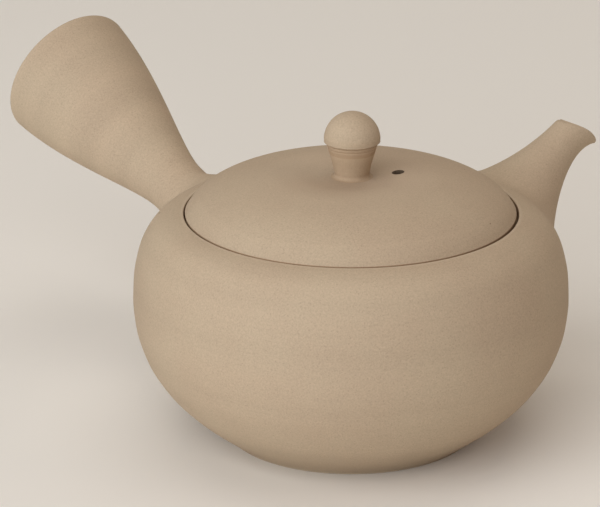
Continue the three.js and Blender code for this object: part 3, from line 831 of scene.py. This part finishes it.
lid = {
    "clearance": 0.45, "proud": 0.25, "undercut": 0.5, "edge": 0.2, "edgeAngle": 66, "edgeReach": 7.9,
    "crestRadius": 18.5, "crestReach": 6.5, "crestRise": 10.5, "dishRise": 9.8, "wall": 3,
    "underDrop": 1, "underSoftness": 0.8, "flangeClearance": 0.6, "flangeWall": 2.6, "flangeDepth": 6.5,
    "flangeSoftness": 0.9, "ventRadius": 1.65, "ventFromAxis": 12.6, "ventAngle": -28.5, "ventDepth": 8,
    "ventAbove": 1.2, "ventSides": 32, "seatGap": 0.1, "slack": (-0.30, -0.245, 0), "wobble": 0.00025,
    "sides": 192, "seed": 7.0,
}
knob = {
    "footRadius": 5.9, "footPull": (0.3, 0.04), "footRise": 0.3, "footFillet": 1.0, "neckRadius": 4.6,
    "neckHeight": 8.9, "neckSwell": 0.35, "neckReachLow": 2.4, "neckReachTop": 3.0, "underAngle": 74,
    "collarRadius": 7.05, "collarHeight": 0.7, "collarReach": 0.3, "collarSwell": 0.15, "collarDrop": 0.1,
    "ballRadius": 7.4, "undercut": 4, "gap": 0.1, "sunk": 0.03, "offCentre": (0.236, -0.186, 0), "sides": 96,
    "scoreWidth": 0.16, "scores": ((8.1, 0.16), (9.1, 0.22), (10.0, 0.12)), "dampBand": (6.6, 9.6),
}
seated = Matrix.Translation(Vector(lid["slack"]) * mm)  # a loose lid lies against one side of its seat
lidRadius = pot["rimRadius"] - lid["clearance"]
dishHeight = pot["rimHeight"] + lid["dishRise"]


def lidFace():
    edge = (lidRadius - lid["edge"], pot["rimHeight"] + lid["proud"])
    crest = (lid["crestRadius"], pot["rimHeight"] + lid["crestRise"])
    return joined(
        bezier(edge, away(edge, 180 - lid["edgeAngle"], lid["edgeReach"]),
               (crest[0] + lid["crestReach"], crest[1]), crest, 36),
        bezier(crest, (crest[0] - lid["crestReach"], crest[1]),
               (knob["footRadius"] + lid["crestReach"], dishHeight), (knob["footRadius"], dishHeight), 24))


def lidLine():
    face = lidFace()
    base = ledgeHeight + lid["seatGap"]
    flange = mouthRadius - lid["flangeClearance"]
    inside = flange - lid["flangeWall"]
    bottom = ledgeHeight - lid["flangeDepth"]
    under = offsetLine(face, lid["wall"])
    under = under[under[:, 0] < inside][::-1]
    soft, edge = lid["flangeSoftness"], lid["edge"]
    side = (lidRadius, face[0][1] - edge / 2)
    return joined(
        (0, under[0][1]), under,
        softCorner(tuple(under[-1]), (inside, under[-1][1] - lid["underDrop"]), (inside, bottom),
                   lid["underSoftness"]),
        softCorner((inside, base), (inside, bottom), (flange, bottom), soft, 6),
        softCorner((inside, bottom), (flange, bottom), (flange, base), soft, 6),
        softCorner((flange, bottom), (flange, base), (lidRadius, base), edge),
        softCorner((flange, base), (lidRadius - lid["undercut"], base), side, edge),
        softCorner((lidRadius - lid["undercut"], base), side, tuple(face[1]), edge), face[1:],
        (0, dishHeight))


# painted shade: the tone darkens the lid round the knob and greys it slightly
lidClay = clayMaterial("lidClay", toneColour=rgb(184, 164, 143), toneAmount=0.35, toneBy="distance",
                       toneFrom=0.010, toneTo=0.034, rubbed=0.0)
lidForm = throwForm("lidForm", lidLine(), {
    "Sides": lid["sides"], "Hand Wobble": lid["wobble"], "Seed": lid["seed"], "Clay": lidClay})
# painted shade: the vent's wall gets a dark clay for the shade down in the hole
ventClay = clayMaterial("ventClay", clay=rgb(66, 50, 35), bloomColour=rgb(58, 44, 31), ringTone=0.0)
ventDrill = drill("ventDrill", lid["ventRadius"], -lid["ventDepth"], lid["ventAbove"], lid["ventSides"],
                  ventClay)
ventPlace = Vector((*away((0, 0), lid["ventAngle"], lid["ventFromAxis"]), dishHeight))
ventDrill.data.transform(Matrix.Translation(ventPlace * mm))
lidTop = cutAway(lidForm, ventDrill, "lidTop")
markEdges(lidTop)
# painted shade on the lid's side, down in the gap
markRecessShade(lidTop, lidRadius - lid["undercut"] - 0.3, lidRadius + 0.1, ledgeHeight, lidFace()[0][1] - 0.08)
lidTop.data.transform(seated)
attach(lidTop, "lid")
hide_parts("lid")


def knobLine():
    base = dishHeight + knob["gap"]
    sunk = dishHeight - knob["sunk"]
    neckTop = base + knob["neckHeight"]
    collarTop = neckTop + knob["collarHeight"]
    ballHeight = collarTop + knob["ballRadius"] * math.sin(math.radians(knob["undercut"]))
    neckFoot = (knob["neckRadius"], base + knob["footFillet"])
    underBall = (knob["collarRadius"] - knob["collarHeight"] / 2, neckTop)
    ball = arc((0, ballHeight), knob["ballRadius"], -knob["undercut"], 90, 40)
    outwards, up = knob["footPull"]
    line = joined(
        (0, sunk), bezier((knob["footRadius"], sunk), (knob["neckRadius"] + outwards, sunk + up),
                          (knob["neckRadius"], base + knob["footRise"]), neckFoot, 12),
        bezier(neckFoot, (knob["neckRadius"] + knob["neckSwell"], neckFoot[1] + knob["neckReachLow"]),
               away(underBall, knob["underAngle"] - 180, knob["neckReachTop"]), underBall, 70),
        bezier(underBall, away(underBall, knob["underAngle"], knob["collarReach"]),
               (knob["collarRadius"] + knob["collarSwell"], collarTop - knob["collarDrop"]), ball[0], 8),
        ball)
    return scored(line, base)


def scored(line, base):  # fine grooves that a turning tool left under the ball
    line = line.copy()
    for height, depth in knob["scores"]:
        fromScore = (line[:, 1] - base - height) / knob["scoreWidth"]
        line[:, 0] -= depth * np.exp(-fromScore ** 2) * (line[:, 0] > 1)
    return line


# painted shade: the tone darkens the neck and the ball's underside, with a warmer tint
knobClay = clayMaterial("knobClay", toneColour=rgb(180, 153, 123), toneAmount=0.55, toneFrom=0.0780,
                        toneTo=0.0842, ringSpacing=0.004, stainColour=rgb(150, 112, 78), stain=0.25)
lidKnob = throwForm("lidKnob", knobLine(), {"Sides": knob["sides"], "Clay": knobClay})
markEdges(lidKnob)
# painted shade in a band on the neck just under the ball
markRecessShade(lidKnob, 1, 9, dishHeight + knob["dampBand"][0], dishHeight + knob["dampBand"][1])
lidKnob.data.transform(seated @ Matrix.Translation(Vector(knob["offCentre"]) * mm))
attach(lidKnob, "lid")
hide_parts("lid_knob")
print("stage: lid and knob done")


studio = {
    "floor": rgb(246, 243, 237), "floorSize": 6.0, "room": rgb(235, 231, 225), "roomStrength": 0.02,
    "lampDistance": 1.6, "aimHeight": 0.04,
    "lamps": {
        "lowWindow": {"turn": -35, "rise": 12, "width": 2.4, "height": 0.6, "power": 13.8,
                      "colour": (0.90, 0.94, 1.0)},
        "highWindow": {"turn": -35, "rise": 40, "width": 2.4, "height": 0.9, "power": 13.5,
                       "colour": (1.0, 0.99, 0.985)},
        "rightCard": {"turn": 80, "rise": 30, "width": 0.9, "height": 0.9, "power": 2.8,
                      "colour": (1.0, 0.76, 0.62)},
        "backCard": {"turn": 150, "rise": 20, "width": 1.6, "height": 0.9, "power": 3.3,
                     "colour": (1.0, 0.98, 0.92)},
        "backWindow": {"turn": 180, "rise": 60, "width": 2.0, "height": 1.2, "power": 5.4,
                       "colour": (1.0, 0.96, 0.87)},
        "ceiling": {"turn": 0, "rise": 89, "width": 1.6, "height": 1.6, "power": 6.9,
                    "colour": (1.0, 0.88, 0.79)}},
}
shot = {"place": (-0.6252, -0.7720, 0.4030), "down": 19.6, "heading": 38.23, "lens": 240}


def makeFloor():
    mesh = bpy.data.meshes.new("floor")
    s = studio["floorSize"]
    mesh.from_pydata([(-s, -s, 0), (s, -s, 0), (s, s, 0), (-s, s, 0)], [], [(0, 1, 2, 3)])
    floor = addMesh("floor", mesh)
    material = bpy.data.materials.new("floorPaper")
    material.use_nodes = True
    surface = material.node_tree.nodes["Principled BSDF"]
    surface.inputs["Base Color"].default_value = studio["floor"]
    surface.inputs["Roughness"].default_value = 0.95
    surface.inputs["Specular IOR Level"].default_value = 0.1
    mesh.materials.append(material)


def addLamp(name, lamp):  # turn is degrees to the right of the camera, as seen from the pot
    data = bpy.data.lights.new(name, "AREA")
    data.shape, data.size, data.size_y = "RECTANGLE", lamp["width"], lamp["height"]
    data.energy, data.color = lamp["power"], lamp["colour"]
    piece = bpy.data.objects.new(name, data)
    scene.collection.objects.link(piece)
    turn, rise = math.radians(lamp["turn"] - shot["heading"]), math.radians(lamp["rise"])
    way = Vector((math.sin(turn) * math.cos(rise), -math.cos(turn) * math.cos(rise), math.sin(rise)))
    piece.location = way * studio["lampDistance"] + Vector((0, 0, studio["aimHeight"]))
    piece.rotation_euler = (-way).to_track_quat("-Z", "Y").to_euler()


def makeRoom():
    world = bpy.data.worlds.new("room")
    scene.world = world
    world.use_nodes = True
    background = world.node_tree.nodes["Background"]
    background.inputs["Color"].default_value = studio["room"]
    background.inputs["Strength"].default_value = studio["roomStrength"]


def makeCamera():
    data = bpy.data.cameras.new("camera")
    data.lens, data.sensor_width, data.sensor_fit = shot["lens"], 36, "HORIZONTAL"
    data.clip_start, data.clip_end = 0.05, 50
    camera = bpy.data.objects.new("camera", data)
    scene.collection.objects.link(camera)
    camera.location = shot["place"]
    camera.rotation_euler = (math.radians(90 - shot["down"]), 0, math.radians(-shot["heading"]))
    scene.camera = camera


makeFloor()
makeRoom()
for lampName, lampValues in studio["lamps"].items():
    addLamp(lampName, lampValues)
makeCamera()
scene.view_settings.view_transform = "Standard"
print("stage: studio lit")
